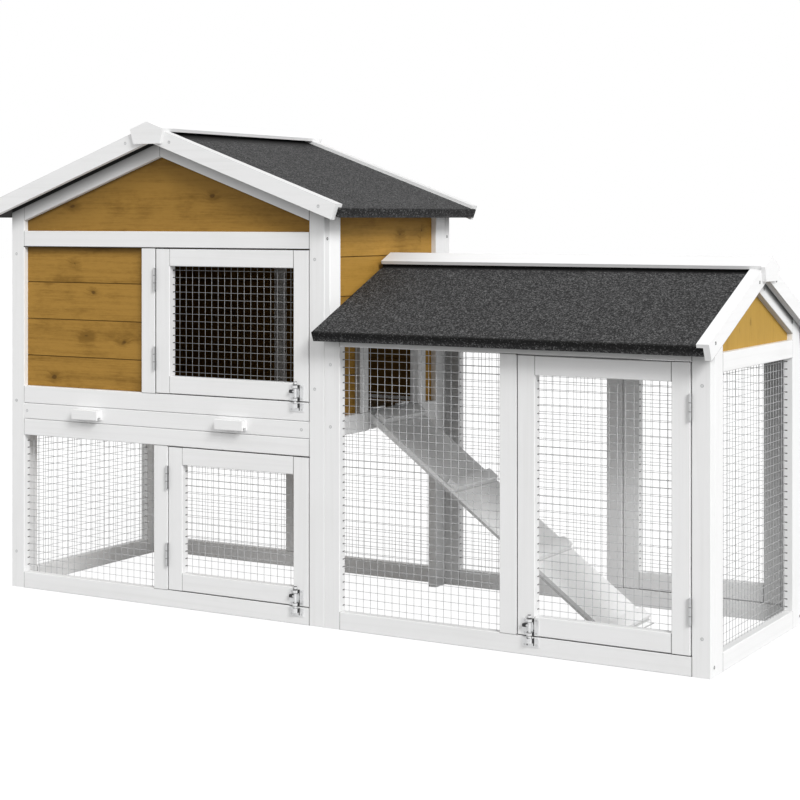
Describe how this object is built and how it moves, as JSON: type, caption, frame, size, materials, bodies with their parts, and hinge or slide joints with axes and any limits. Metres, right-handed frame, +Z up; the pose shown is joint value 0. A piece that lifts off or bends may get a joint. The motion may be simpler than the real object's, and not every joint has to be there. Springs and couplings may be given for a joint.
{
  "type": "small animal hutch",
  "caption": "Wooden small animal hutch: a gabled house with a pull-out tray, joined by a ramp to a roofed wire run; framed wire doors swing on hinges and lock with sliding bolts.",
  "frame": {"origin": "on the ground, in the middle of the whole hutch's plan", "axes": "+X along the hutch from the house to the run, +Y from front to back, +Z up"},
  "size_m": [1.426, 0.5242, 0.8475],
  "materials": {
    "white_paint": "satin white paint",
    "stained_wood": "golden brown stain",
    "bare_wood": "bare timber",
    "roof_board": "black stained board",
    "roof_felt": "grey mineral felt",
    "galvanised": "bright zinc",
    "mesh_wire": "galvanised wire"
  },
  "bodies": {
    "hutch": {"house_front_frame": "white_paint", "house_gable_panels": "stained_wood", "house_front_planks": "stained_wood", "house_front_mesh": "mesh_wire", "house_back_frame": "white_paint", "house_back_planks": "stained_wood", "house_back_mesh": "mesh_wire", "house_left_frame": "white_paint", "house_left_planks": "stained_wood", "house_left_mesh": "mesh_wire", "house_right_frame": "white_paint", "house_right_planks": "stained_wood", "run_front_frame": "white_paint", "run_front_mesh": "mesh_wire", "run_back_frame": "white_paint", "run_back_mesh": "mesh_wire", "run_end_frame": "white_paint", "run_end_mesh": "mesh_wire", "run_end_gable": "stained_wood", "house_roof_boards": "roof_board", "house_roof_felt": "roof_felt", "house_barge_boards": "white_paint", "house_ridge_cap": "white_paint", "house_apex_plates": "white_paint", "run_roof_boards": "roof_board", "run_roof_felt": "roof_felt", "run_barge_boards": "white_paint", "run_ridge_cap": "white_paint", "run_apex_plate": "white_paint", "hinge_frame_leaves": "galvanised", "hinge_pins": "galvanised", "bolt_keepers": "galvanised", "tray_runners": "bare_wood"},
    "tray": {"tray_front": "white_paint", "tray_base": "bare_wood", "tray_rims": "bare_wood", "tray_handles": "white_paint"},
    "ramp": {"ramp_board": "white_paint", "ramp_cleats": "white_paint", "ramp_hinge_leaves": "galvanised"},
    "upper_door": {"upper_door_frame": "white_paint", "upper_door_mesh": "mesh_wire", "upper_door_hinge_leaves": "galvanised", "upper_door_bolt_plate": "galvanised"},
    "upper_bolt": {"upper_door_bolt": "galvanised"},
    "lower_door": {"lower_door_frame": "white_paint", "lower_door_mesh": "mesh_wire", "lower_door_hinge_leaves": "galvanised", "lower_door_bolt_plate": "galvanised"},
    "lower_bolt": {"lower_door_bolt": "galvanised"},
    "run_door": {"run_door_frame": "white_paint", "run_door_mesh": "mesh_wire", "run_door_hinge_leaves": "galvanised", "run_door_bolt_plate": "galvanised"},
    "run_bolt": {"run_door_bolt": "galvanised"},
    "rear_run_door": {"rear_run_door_frame": "white_paint", "rear_run_door_mesh": "mesh_wire", "rear_run_door_hinge_leaves": "galvanised", "rear_run_door_bolt_plate": "galvanised"},
    "rear_run_bolt": {"rear_run_door_bolt": "galvanised"}
  },
  "joints": [
    {"name": "upper_door_swing", "type": "hinge", "parent": "hutch", "child": "upper_door", "pos_m": [-0.3349, -0.21945, 0.49965], "axis": [0, 0, -1], "range_deg": [0, 165]},
    {"name": "upper_bolt_slide", "type": "slide", "parent": "upper_door", "child": "upper_bolt", "axis": [0, 0, -1], "range_m": [-0.003, 0.008]},
    {"name": "lower_door_swing", "type": "hinge", "parent": "hutch", "child": "lower_door", "pos_m": [-0.3074, -0.21945, 0.15545], "axis": [0, 0, -1], "range_deg": [0, 165]},
    {"name": "lower_bolt_slide", "type": "slide", "parent": "lower_door", "child": "lower_bolt", "axis": [0, 0, -1], "range_m": [-0.003, 0.008]},
    {"name": "run_door_swing", "type": "hinge", "parent": "hutch", "child": "run_door", "pos_m": [0.6609, -0.21945, 0.24845], "axis": [0, 0, 1], "range_deg": [0, 165]},
    {"name": "run_bolt_slide", "type": "slide", "parent": "run_door", "child": "run_bolt", "axis": [0, 0, -1], "range_m": [-0.003, 0.008]},
    {"name": "rear_run_door_swing", "type": "hinge", "parent": "hutch", "child": "rear_run_door", "pos_m": [0.6609, 0.21945, 0.24845], "axis": [0, 0, -1], "range_deg": [0, 165]},
    {"name": "rear_run_bolt_slide", "type": "slide", "parent": "rear_run_door", "child": "rear_run_bolt", "axis": [0, 0, -1], "range_m": [-0.003, 0.008]},
    {"name": "tray_slide", "type": "slide", "parent": "hutch", "child": "tray", "axis": [0, -1, 0], "range_m": [0, 0.36]},
    {"name": "ramp_lift", "type": "hinge", "parent": "hutch", "child": "ramp", "pos_m": [0.0091, 0.012, 0.34795], "axis": [0, -1, 0], "range_deg": [0, 50]}
  ]
}
